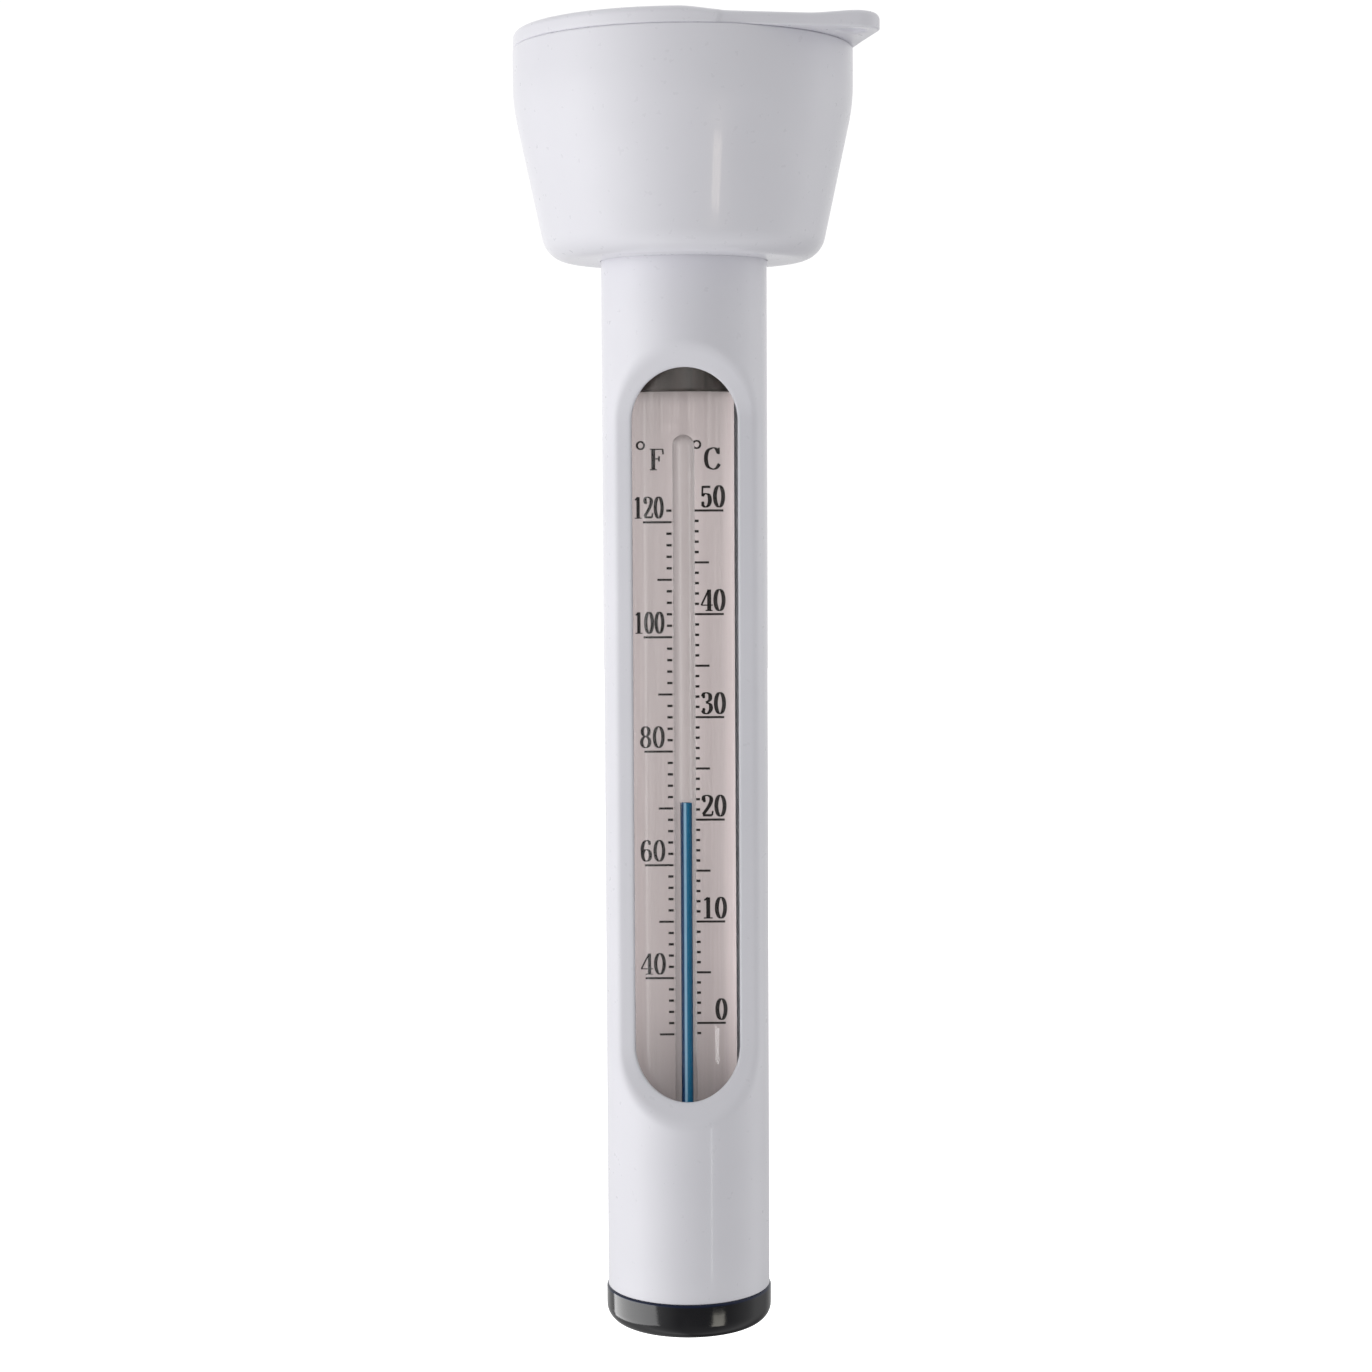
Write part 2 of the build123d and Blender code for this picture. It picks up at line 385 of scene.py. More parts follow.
class Nodes(Tree):
    """A new material's node tree, worked in object coordinates."""

    def __init__(self, name):
        self.material = bpy.data.materials.new(name)
        self.material.use_nodes = True
        super().__init__(self.material.node_tree)
        self.shader = self.tree.nodes["Principled BSDF"]
        self.output = self.tree.nodes["Material Output"]
        self.place = self.node("ShaderNodeTexCoord").outputs["Object"]

    def set(self, **values):
        """Values on the Principled shader's own sockets."""
        for key, value in values.items():
            self.shader.inputs[key.replace("_", " ")].default_value = value

    def stretched(self, scale):
        """Object coordinates scaled by axis."""
        mapping = self.node("ShaderNodeMapping")
        mapping.inputs["Scale"].default_value = scale
        self.link(self.place, mapping.inputs["Vector"])
        return mapping.outputs["Vector"]

    def noise(self, scale, detail=3.0, stretch=(1.0, 1.0, 1.0), rough=0.5):
        texture = self.node("ShaderNodeTexNoise")
        texture.inputs["Scale"].default_value = scale
        texture.inputs["Detail"].default_value = detail
        texture.inputs["Roughness"].default_value = rough
        self.link(self.stretched(stretch), texture.inputs["Vector"])
        return texture.outputs["Fac"]

    def along(self, axis, low, high):
        """How far a point lies from low (0) to high (1) along an axis, in millimetres."""
        return self.range(self.split(self.place)[axis], low * MM, high * MM, 0.0, 1.0)

    def colour(self, source):
        self.link(source, self.shader.inputs["Base Color"])

    def roughness(self, source):
        self.link(source, self.shader.inputs["Roughness"])

    def bump(self, height, distance):
        made = self.node("ShaderNodeBump")
        made.inputs["Strength"].default_value = 1.0
        made.inputs["Distance"].default_value = distance
        self.link(height, made.inputs["Height"])
        self.link(made.outputs["Normal"], self.shader.inputs["Normal"])

    def let_shadow_rays_through(self, tint):
        """Clear pieces let lamps through: transparent for shadow rays only."""
        clear = self.node("ShaderNodeBsdfTransparent")
        clear.inputs["Color"].default_value = (*tint, 1.0)
        path = self.node("ShaderNodeLightPath")
        mix = self.node("ShaderNodeMixShader")
        self.link(path.outputs["Is Shadow Ray"], mix.inputs[0])
        self.link(self.shader.outputs[0], mix.inputs[1])
        self.link(clear.outputs[0], mix.inputs[2])
        self.link(mix.outputs[0], self.output.inputs["Surface"])


def white_plastic():
    """Smooth white moulding: faint clouding, uneven gloss and a thin clear skin."""
    m = Nodes("white_plastic")
    m.set(Specular_IOR_Level=0.5, IOR=1.5, Coat_Weight=0.25, Coat_Roughness=0.05)
    cloud = m.noise(60.0, detail=4.0)
    m.colour(m.ramp(cloud, [(0.3, (0.785, 0.78, 0.832)), (0.7, (0.82, 0.815, 0.867))]))
    m.roughness(m.range(m.noise(900.0, detail=4.0), 0.3, 0.7, 0.27, 0.35))
    return m.material


def black_plastic():
    """Glossy black moulding with fine handling scratches round it and a bluish upper edge."""
    m = Nodes("black_plastic")
    m.set(Specular_IOR_Level=0.28, IOR=1.5)
    scratches = m.noise(500.0, detail=5.0, stretch=(1.0, 1.0, 9.0), rough=0.7)
    body = m.ramp(m.noise(300.0), [(0.3, (0.004, 0.004, 0.006)), (0.7, (0.008, 0.008, 0.010))])
    joint = m.along("Z", tube_low.z - 0.4, tube_low.z + 0.1)
    rim = m.ramp(joint, [(0.0, 0.0), (0.4, 1.0), (0.9, 1.0), (1.0, 0.0)])
    m.colour(m.mix(rim, body, (0.003, 0.009, 0.036)))
    m.roughness(m.range(scratches, 0.35, 0.75, 0.08, 0.17))
    m.bump(scratches, 0.000006)
    return m.material


def brushed_plate():
    """Thin metal sheet, brushed along its length, warm grey, paler at its sides by painted light.

    Painted shade makes it darker at its foot and a little at its top, where the tube shades it.
    """
    m = Nodes("brushed_plate")
    m.set(Metallic=0.2, Specular_IOR_Level=0.5, Anisotropic=0.5)
    brushed = m.noise(3200.0, detail=3.0, stretch=(1.0, 1.0, 0.012), rough=0.6)
    bands = m.noise(230.0, detail=2.0, stretch=(1.0, 1.0, 0.03))
    base = m.ramp(bands, [(0.3, (0.55, 0.466, 0.462)), (0.7, (0.655, 0.557, 0.556))])
    grain = m.ramp(brushed, [(0.25, 0.88), (0.75, 1.06)])
    base = m.mix(1.0, base, grain, "MULTIPLY")
    # painted light: the colour is paler towards both side edges, where the window's walls shade
    # the sheet
    across = [(0.0, 0.92), (0.06, 0.79), (0.1, 0.71), (0.22, 0.68), (0.4, 0.69)]
    across += [(0.7, 0.65), (0.8, 0.61), (0.87, 0.62), (0.94, 0.82), (1.0, 0.98)]
    across = m.ramp(m.along("X", plate_low.x, plate_high.x), across)
    base = m.mix(1.0, base, across, "MULTIPLY")
    # painted shade: darker at the foot and a little at the top, where the tube shades the sheet
    up = [(0.1, 0.52), (0.17, 0.75), (0.23, 0.92), (0.3, 0.98)]
    up += [(0.5, 0.94), (0.66, 0.87), (0.88, 0.86), (1.0, 0.75)]
    up = m.ramp(m.along("Z", plate_low.z, plate_high.z), up)
    m.colour(m.mix(1.0, base, up, "MULTIPLY"))
    m.roughness(m.range(brushed, 0.3, 0.7, 0.38, 0.52))
    m.bump(brushed, 0.000006)
    return m.material


def printing_ink():
    """Black screen-printed ink, matt and slightly uneven."""
    m = Nodes("printing_ink")
    m.set(Specular_IOR_Level=0.12)
    mottle = m.noise(4000.0, detail=3.0)
    m.colour(m.ramp(mottle, [(0.3, (0.003, 0.002, 0.002)), (0.75, (0.014, 0.009, 0.008))]))
    m.roughness(m.range(m.noise(2500.0), 0.3, 0.7, 0.5, 0.7))
    return m.material


def clear(name, ior, colour, tint, scale, stretch, roughest):
    """Polished clear plastic or glass with slight draw lines along it."""
    m = Nodes(name)
    m.set(Transmission_Weight=1.0, IOR=ior, Base_Color=(*colour, 1.0))
    drawn = m.noise(scale, detail=2.0, stretch=(1.0, 1.0, stretch))
    m.roughness(m.range(drawn, 0.3, 0.7, 0.0, roughest))
    m.let_shadow_rays_through(tint)
    return m.material


def blue_spirit():
    """Dyed spirit: a painted highlight, for the light that it gathers, makes a pale middle
    between deeper blue sides.
    """
    m = Nodes("blue_spirit")
    m.set(Specular_IOR_Level=0.08)
    across = m.along("X", THREAD_X - THREAD_RADIUS, THREAD_X + THREAD_RADIUS)
    # painted light: a pale painted highlight down the middle of the thread, between deeper blue
    # sides
    painted_light_core = (0.22, 0.37, 0.50)
    stops = [(0.0, (0.0, 0.030, 0.105)), (0.22, (0.0, 0.036, 0.120)), (0.3, painted_light_core)]
    stops += [(0.46, painted_light_core), (0.54, (0.0, 0.105, 0.205)), (1.0, (0.0, 0.070, 0.155))]
    base = m.ramp(across, stops)
    fine = m.ramp(m.noise(600.0, stretch=(1.0, 1.0, 0.15)), [(0.3, 0.93), (0.7, 1.05)])
    m.colour(m.mix(1.0, base, fine, "MULTIPLY"))
    m.roughness(m.range(m.noise(900.0), 0.3, 0.7, 0.25, 0.35))
    return m.material


def dark_rubber(name, dark, light, streaks):
    """Rubber with a matt skin; streaks is how far its mottling is drawn out along Z."""
    m = Nodes(name)
    m.set(Specular_IOR_Level=0.35)
    mottle = m.noise(900.0, detail=4.0, stretch=(1.0, 1.0, streaks), rough=0.6)
    m.colour(m.ramp(mottle, [(0.32, dark), (0.72, light)]))
    m.roughness(m.range(mottle, 0.3, 0.7, 0.42, 0.62))
    m.bump(m.noise(3000.0, detail=3.0), 0.00001)
    return m.material


def turned_metal(name, dark, light):
    """Bright metal with turning or rolling lines round it."""
    m = Nodes(name)
    m.set(Metallic=1.0, Anisotropic=0.4)
    lines = m.noise(1500.0, detail=3.0, stretch=(1.0, 1.0, 8.0))
    m.colour(m.ramp(lines, [(0.3, dark), (0.7, light)]))
    m.roughness(m.range(lines, 0.3, 0.7, 0.28, 0.45))
    m.bump(lines, 0.000008)
    return m.material


def foam():
    """Grey closed-cell foam."""
    m = Nodes("foam")
    cells = m.node("ShaderNodeTexVoronoi")
    cells.inputs["Scale"].default_value = 2600.0
    m.link(m.place, cells.inputs["Vector"])
    wall = cells.outputs["Distance"]
    m.colour(m.ramp(wall, [(0.0, (0.18, 0.18, 0.19)), (0.7, (0.33, 0.33, 0.34))]))
    m.set(Roughness=0.9)
    m.bump(wall, 0.00005)
    return m.material


WHITE = white_plastic()
BLACK = black_plastic()
PLATE = brushed_plate()
PRINT = printing_ink()
CLEAR = clear(
    "clear_plastic", 1.22, (0.985, 0.99, 0.985), (0.96, 0.97, 0.97), 700.0, 0.02, 0.012
)
GLASS = clear("stem_glass", 1.36, (0.98, 0.99, 0.99), (0.95, 0.97, 0.97), 900.0, 0.015, 0.03)
SPIRIT = blue_spirit()
STOPPER = dark_rubber("stopper_rubber", (0.012, 0.010, 0.008), (0.060, 0.046, 0.042), 0.06)
SEAL = dark_rubber("seal_rubber", (0.012, 0.012, 0.012), (0.035, 0.035, 0.036), 1.0)
STEEL = turned_metal("turned_steel", (0.42, 0.42, 0.43), (0.55, 0.55, 0.56))
STRIP_METAL = turned_metal("strip_metal", (0.52, 0.52, 0.53), (0.66, 0.66, 0.67))
FOAM = foam()


# ---------------- body tube
def window_outline(half, radius, side_rows, arc_steps):
    """One closed loop round the window, on a cylinder of that radius."""
    high = WINDOW_TOP - WINDOW_HALF
    low = WINDOW_BOTTOM + WINDOW_HALF
    flat = []
    for side, start, end in ((1, high, low), (-1, low, high)):
        for step in range(arc_steps + 1):
            a = pi * step / arc_steps
            flat.append((side * half * cos(a), start + side * half * sin(a)))
        for row in range(1, side_rows):
            flat.append((-side * half, start + (end - start) * row / side_rows))
    return [(x, -sqrt(radius**2 - x**2), z) for x, z in flat]


def window_section():
    """The cut across the window's edge, outside to inside, as (half width, radius).

    The bevel is flat and faces forwards at the window's sides, so its depth is worked
    out in y there and turned into the radius that the loop keeps all round.
    """
    outer_half = WINDOW_HALF + BEVEL_WIDTH
    outer_depth = sqrt(TUBE_RADIUS**2 - outer_half**2)
    lip_half = WINDOW_HALF + LIP_ROUND

    def bevel(half):
        share = (outer_half - half) / (outer_half - lip_half)
        return Vector((half, hypot(half, outer_depth + (LIP_DEPTH - outer_depth) * share)))

    guard = outer_half + BEVEL_SOFT
    start, corner = Vector((guard, TUBE_RADIUS)), Vector((outer_half, TUBE_RADIUS))
    end = bevel(outer_half - BEVEL_SOFT)
    section = [(guard + 0.15, TUBE_RADIUS)]
    for step in range(11):
        t = step / 10
        section.append(tuple(start * (1 - t) ** 2 + corner * 2 * t * (1 - t) + end * t**2))
    for step in range(1, 6):
        section.append(tuple(bevel(end.x + (lip_half - end.x) * step / 5)))
    for s, c in quarter(6)[1:]:
        half = lip_half - LIP_ROUND * s
        section.append((half, hypot(half, LIP_DEPTH - LIP_FALL * (1 - c))))
    return [*section, (WINDOW_HALF, TUBE_BORE + 0.1), (WINDOW_HALF + 0.04, TUBE_BORE)]


def tube_angles(half, radius, arc_steps, back_steps):
    """Directions of a tube's columns: over the window from right to left, then round the back."""
    edge = asin(half / radius)
    front = [asin(half * cos(pi * step / arc_steps) / radius) for step in range(arc_steps)]
    back = [-edge - (2 * pi - 2 * edge) * step / back_steps for step in range(back_steps)]
    return front + back


def tube_ring(angles, radius, z):
    """A level ring; its angles turn from the front (-Y) towards +X."""
    return [(radius * sin(a), -radius * cos(a), z) for a in angles]


def tube_wall(shell, half, radius, bottom, top, arc_steps, back_steps, side_rows):
    """A cylinder with the window left out, from bottom to top."""
    high = WINDOW_TOP - WINDOW_HALF
    low = WINDOW_BOTTOM + WINDOW_HALF
    angles = tube_angles(half, radius, arc_steps, back_steps)
    rise = [half * sin(pi * step / arc_steps) for step in range(arc_steps)] + [0.0] * back_steps
    columns = [(x, y, r) for (x, y, _), r in zip(tube_ring(angles, radius, 0.0), rise)]
    rows = 10
    above, below = [], []
    for row in range(rows + 1):
        share = (row / rows) ** 1.5
        above.append([(x, y, high + r + (top - high - r) * share) for x, y, r in columns])
        below.append([(x, y, low - r + (bottom - low + r) * share) for x, y, r in columns])
    shell.strip(above)
    shell.strip(below)
    back = angles[arc_steps:] + [angles[0]]
    heights = [low + (high - low) * row / side_rows for row in range(side_rows + 1)]
    shell.strip([tube_ring(back, radius, z) for z in heights], closed=False)


def body_tube():
    """The white tube: window with a soft outer edge, a flat bevel and a rounded lip."""
    steps = arc_steps, back_steps, side_rows = 64, 110, 24
    shell = Shell()
    section = window_section()
    outer_half, inner_half = section[0][0], section[-1][0]
    shell.strip([window_outline(*edge, side_rows, arc_steps) for edge in section])

    flange_bottom = tube_high.z - FLANGE_THICKNESS
    foot = tube_low.z
    foot_round = 0.2
    tube_wall(shell, outer_half, TUBE_RADIUS, foot + foot_round, flange_bottom, *steps)
    tube_wall(shell, inner_half, TUBE_BORE, foot, WEB_BOTTOM, *steps)
    outside = tube_angles(outer_half, TUBE_RADIUS, arc_steps, back_steps)
    within = tube_angles(inner_half, TUBE_BORE, arc_steps, back_steps)
    rim = []
    for s, c in quarter(4):
        radius = TUBE_RADIUS - foot_round + foot_round * c
        rim.append(tube_ring(outside, radius, foot + foot_round - foot_round * s))
    shell.strip([*rim, tube_ring(within, TUBE_BORE, foot)])
    flange = [
        (TUBE_RADIUS, flange_bottom),
        (FLANGE_RADIUS, flange_bottom),
        (FLANGE_RADIUS, tube_high.z),
        (TUBE_BORE, tube_high.z),
        (TUBE_BORE, WEB_TOP),
    ]
    shell.strip([tube_ring(outside, *edge) for edge in flange])
    shell.fan(tube_ring(outside, TUBE_BORE, WEB_TOP), (0, 0, WEB_TOP))
    shell.fan(tube_ring(within, TUBE_BORE, WEB_BOTTOM), (0, 0, WEB_BOTTOM))
    made = shell.piece("windowed_tube", WHITE, "shell", "shell_plastic")
    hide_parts("body_tube")


# ---------------- float bowl and lid
def float_bowl():
    """The hollow float, tapered by its draft and open at the seam and round the tube."""
    bottom = bowl_low.z
    shoulder = bottom + (BOWL_RADIUS - BOWL_FOOT) / BOWL_DRAFT
    floor = bottom + BOWL_WALL
    inner_offset = BOWL_WALL * sqrt(1 + BOWL_DRAFT**2)
    inner_foot = BOWL_FOOT + BOWL_WALL * BOWL_DRAFT - inner_offset
    inner_radius = BOWL_RADIUS - BOWL_WALL
    inner_shoulder = floor + (inner_radius - inner_foot) / BOWL_DRAFT
    corners = [
        (FLOOR_HOLE, bottom, 0.12),
        (BOWL_FOOT, bottom, 3.75),
        (BOWL_RADIUS, shoulder, 25.0),
        (BOWL_RADIUS, SEAM, 0.3),
        (inner_radius, SEAM, 0.2),
        (inner_radius, inner_shoulder, 0),
        (inner_foot, floor, 2.0),
        (FLOOR_HOLE, floor, 0.12),
    ]
    outline = rounded(corners, steps=14)
    shell = Shell()
    shell.lathe(outline, segments=220, closed=True)
    made = shell.piece("bowl_shell", WHITE, "shell", "shell_plastic")
    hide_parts("float_bowl")


def lid_outline(inset, lean):
    """The lid in plan: a disc whose tab leaves it at a crease, with slightly hollow sides.

    lean turns the front crease along the rim, so that the crease slants on the wall.
    """
    disc_steps, side_steps, tip_steps = 200, 40, 28
    spread = acos((LID_RADIUS - TAB_TIP) / TAB_REACH)
    front = TAB_ANGLE - spread
    back = TAB_ANGLE + spread
    crease = front + lean
    disc = LID_RADIUS - inset
    tip = TAB_TIP - inset
    sweep = 2 * pi - (back - crease)
    points = []
    for step in range(disc_steps + 1):
        a = back + sweep * step / disc_steps
        points.append(Vector((disc * cos(a), disc * sin(a))))
    centre = Vector(TAB_CENTRE)
    tips = []
    for step in range(tip_steps + 1):
        a = front + 2 * spread * step / tip_steps
        tips.append(centre + Vector((cos(a), sin(a))) * tip)
    points += hollow(points[-1], tips[0], side_steps) + tips[1:]
    return points + hollow(points[0], tips[-1], side_steps)[-2::-1]


def hollow(start, end, steps):
    """Points after start up to end along a side that steps in a little and is bowed inwards."""
    depth, step_in = 0.48, 0.02
    along = end - start
    inward = Vector((-along.y, along.x)).normalized()
    if inward.dot(start) > 0:
        inward = -inward
    result = []
    for step in range(1, steps + 1):
        t = step / steps
        eased = min(1.0, t / step_in) * (1 - t) ** 1.2 * (0.55 + 1.4 * t)
        result.append(start + along * t + inward * depth * eased)
    return result


def lid_drop(x, y):
    """How far the tab's top lies below the lid's: a shallow dip that fades at the tip."""
    deepest, fall_start, climb_start, length = 0.48, 12.1, 24.0, 5.0
    along = x * cos(TAB_ANGLE) + y * sin(TAB_ANGLE)
    fall = min(1.0, max(0.0, (along - fall_start) / length))
    climb = min(1.0, max(0.0, (along - climb_start) / length))
    return deepest * smooth(fall) * (1 - smooth(climb))


def float_lid():
    """Flat lid with a tether tab, its skirt and the groove for its seal."""
    top_round, foot_round, hole_round = 0.9, 0.25, 0.3
    slant = radians(1.6)
    height = LID_TOP - SEAM
    shell = Shell()

    def point(x, y, h):
        share = max(0.0, min(1.0, (h - foot_round) / (height - foot_round)))
        return (x, y, SEAM + h - lid_drop(x, y) * share)

    levels = [(foot_round * (1 - s), foot_round * (1 - c)) for s, c in quarter(4)]
    straight = height - top_round - foot_round
    levels += [(0.0, foot_round + straight * step / 3) for step in (1, 2)]
    levels += [(top_round * (1 - c), height - top_round + top_round * s) for s, c in quarter(9)]
    walls = []
    for inset, h in levels:
        outline = lid_outline(inset, slant * (h / height - 0.5))
        walls.append([point(x, y, h) for x, y in outline])
    shell.strip(walls)

    hole = [(hole_round * (1 - s), hole_round * (1 - c)) for s, c in quarter(4)]
    hole += [(hole_round * (1 - c), height - hole_round + hole_round * s) for s, c in quarter(4)]
    rings = []
    for wider, h in hole:
        rings.append([point(x, y, h) for x, y in circle(TAB_CENTRE, TETHER_HOLE + wider, 48)])
    shell.strip(rings)

    mouth = circle(TAB_CENTRE, TETHER_HOLE + hole_round, 48)
    skirt_rim = circle((0, 0), SKIRT_RADIUS, 160)
    points, triangles, _ = triangulate(lid_outline(top_round, slant / 2), [mouth], 1.5)
    shell.add([point(x, y, height) for x, y in points], triangles)
    underside = lid_outline(foot_round, -slant / 2)
    points, triangles, _ = triangulate(underside, [mouth, skirt_rim], 1.5)
    shell.add([(x, y, SEAM) for x, y in points], triangles)

    seal_low, seal_high = cad_box("lid_seal")
    groove = seal_high.x - (seal_high.z - seal_low.z)
    skirt_bore = SKIRT_RADIUS - SKIRT_WALL
    skirt = [
        (SKIRT_RADIUS, SEAM),
        (SKIRT_RADIUS, seal_high.z + GROOVE_ROOM),
        (groove, seal_high.z + GROOVE_ROOM),
        (groove, seal_low.z - GROOVE_ROOM),
        (SKIRT_RADIUS, seal_low.z - GROOVE_ROOM),
        (SKIRT_RADIUS, lid_low.z),
        (skirt_bore, lid_low.z),
        (skirt_bore, SEAM),
    ]
    rings = [[(*p, z) for p in circle((0, 0), radius, 160)] for radius, z in skirt]
    shell.strip(rings)
    shell.fan(rings[-1], (0, 0, SEAM))
    made = shell.piece("lid_cover", WHITE, "shell", "shell_plastic")
    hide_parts("float_lid")


# ---------------- end cap
def end_cap():
    """The glossy cap, open towards the tube, with its spigot and ring groove."""
    radius = cap_high.x
    joint = tube_low.z
    spigot = TUBE_BORE - 0.1
    inner = spigot - 2.2
    ring_low, ring_high = cad_box("cap_o_ring")
    groove_low = ring_low.z - GROOVE_ROOM
    groove_high = ring_high.z + GROOVE_ROOM
    groove = ring_high.x - (ring_high.z - ring_low.z)
    corners = [
        (0.0, 0.0, 0),
        (radius, 0.0, 2.3),
        (radius, joint, 0.25),
        (spigot, joint, 0),
        (spigot, groove_low, 0),
        (groove, groove_low, 0),
        (groove, groove_high, 0),
        (spigot, groove_high, 0),
        (spigot, cap_high.z, 0.3),
        (inner, cap_high.z, 0.3),
        (inner, CAP_FLOOR, 0),
        (0.0, CAP_FLOOR, 0),
    ]
    outline = rounded(corners, steps=12)
    shell = Shell()
    shell.lathe(outline, segments=200)
    made = shell.piece("foot_cap", BLACK, "cap", "cap_plastic")
    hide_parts("end_cap")


# ---------------- insert
def sight_tube():
    """The clear tube behind the window."""
    bore = SIGHT_RADIUS - SIGHT_WALL
    low, high = sight_low.z, sight_high.z
    corners = [(bore, low), (SIGHT_RADIUS, low), (SIGHT_RADIUS, high), (bore, high)]
    outline = rounded([(*corner, 0.15) for corner in corners], steps=4)
    shell = Shell()
    shell.lathe(outline, centre=(INSERT_X, 0.0), segments=200, closed=True)
    made = shell.piece("clear_tube_wall", CLEAR, "shell", "clear_tube")
    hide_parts("sight_tube")


def upper_stopper():
    """The dark plug above the scale, with a rounded lower edge and a wide head."""
    bore = SIGHT_RADIUS - SIGHT_WALL
    head = (upper_high.x - upper_low.x) / 2
    corners = [
        (0.0, PLATE_TOP, 0),
        (bore - 0.02, PLATE_TOP, 0.5),
        (bore - 0.02, sight_high.z, 0),
        (head, sight_high.z, 0.3),
        (head, upper_high.z, 0.8),
        (0.0, upper_high.z, 0),
    ]
    outline = rounded(corners)
    shell = Shell()
    shell.lathe(outline, centre=(INSERT_X, 0.0), segments=120)
    made = shell.piece("top_plug", STOPPER, "shell", "stopper_rubber")
    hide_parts("upper_stopper")


def scale_plate():
    """Metal plate with its notch for the bulb, two clip slots and a pressed dimple."""
    notch_half, notch_top = 3.2, 27.0
    clip_low, clip_high = cad_box("stem_clip")
    slot_half, slot_room = 0.2, 0.05
    clip_leg = STEM_RADIUS + 0.2
    low, high = clip_low.z - slot_room, clip_high.z + slot_room
    corners = [
        (plate_low.x, plate_low.z, 0.3),
        (STEM_X - notch_half, plate_low.z, 0.1),
        (STEM_X - notch_half, notch_top, 0.6),
        (STEM_X + notch_half, notch_top, 0.6),
        (STEM_X + notch_half, plate_low.z, 0.1),
        (PLATE_RIGHT, plate_low.z, 0.3),
        (PLATE_RIGHT, PLATE_TOP, 0.3),
        (plate_low.x, PLATE_TOP, 0.3),
    ]
    outline = rounded(corners, steps=3)
    slots = []
    for side in (-1, 1):
        x = STEM_X + side * clip_leg
        left, right = x - slot_half, x + slot_half
        slots.append([(left, low), (right, low), (right, high), (left, high)])
    dimple = (STEM_X - 0.9, stem_high.z + 1.0)
    half_width, half_height, deepest = 2.2, 0.75, 0.16

    def place(x, z, y):
        reach = ((x - dimple[0]) / half_width) ** 2 + ((z - dimple[1]) / half_height) ** 2
        press = deepest * (1 - reach) ** 2 if reach < 1 else 0.0
        return (x, y + press, z)

    shell = Shell()
    shell.slab(outline, slots, (PLATE_FRONT, plate_high.y), 0.8, place)
    made = shell.piece("scale_sheet", PLATE, "shell", "plate_metal")
    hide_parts("scale_plate")


def glass_stem():
    """The thermometer's glass: bulb, neck and a solid stem with a domed top."""
    bottom, top = stem_low.z, stem_high.z
    shoulder = top - STEM_RADIUS
    blend_steps = 12
    outline = [Vector((BULB_RADIUS * s, bottom + BULB_RADIUS * (1 - c))) for s, c in quarter(24)]
    for step in range(blend_steps + 1):
        t = step / blend_steps
        radius = BULB_RADIUS + (STEM_RADIUS - BULB_RADIUS) * smooth(t)
        outline.append(Vector((radius, BULB_SHOULDER + (NECK - BULB_SHOULDER) * t)))
    outline += refined([Vector((STEM_RADIUS, NECK)), Vector((STEM_RADIUS, shoulder))], 4.0)[1:]
    outline += [Vector((STEM_RADIUS * c, shoulder + STEM_RADIUS * s)) for s, c in quarter(16)[1:]]
    shell = Shell()
    shell.lathe(outline, centre=(STEM_X, STEM_Y), segments=96)
    made = shell.piece("drawn_stem", GLASS, "shell", "stem_glass")
    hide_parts("glass_stem")


def spirit_column():
    """The spirit in the stem, from inside the bulb up to its slightly dished top."""
    foot, top = 24.0, column_high.z
    wall = refined([Vector((THREAD_RADIUS, foot)), Vector((THREAD_RADIUS, top))], 0.6)
    dish = [Vector((THREAD_RADIUS * 0.6, top - 0.10)), Vector((0.0, top - 0.14))]
    shell = Shell()
    shell.lathe([Vector((0.0, foot)), *wall, *dish], centre=(THREAD_X, STEM_Y), segments=48)
    made = shell.piece("spirit_thread", SPIRIT, None, "blue_spirit")
    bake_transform(made)
    made.visible_shadow = False
    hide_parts("spirit_column")


# ---------------- printed scale
def ellipse(x, y, half_width, half_height, steps=36):
    """Points round an ellipse, the first one again at the end."""
    turns = [2 * pi * i / steps for i in range(steps + 1)]
    return [(x + half_width * cos(a), y + half_height * sin(a)) for a in turns]


def curve(*points):
    """A smooth run through a few points (Catmull-Rom)."""
    steps = 6
    padded = [points[0], *points, points[-1]]
    result = []
    for i in range(1, len(padded) - 2):
        p0, p1, p2, p3 = (Vector(p) for p in padded[i - 1 : i + 3])
        for step in range(steps):
            t = step / steps
            spot = 2 * p1 + (p2 - p0) * t + (2 * p0 - 5 * p1 + 4 * p2 - p3) * t**2
            spot += (3 * p1 - p0 - 3 * p2 + p3) * t**3
            result.append(tuple(spot / 2))
    return result + [points[-1]]


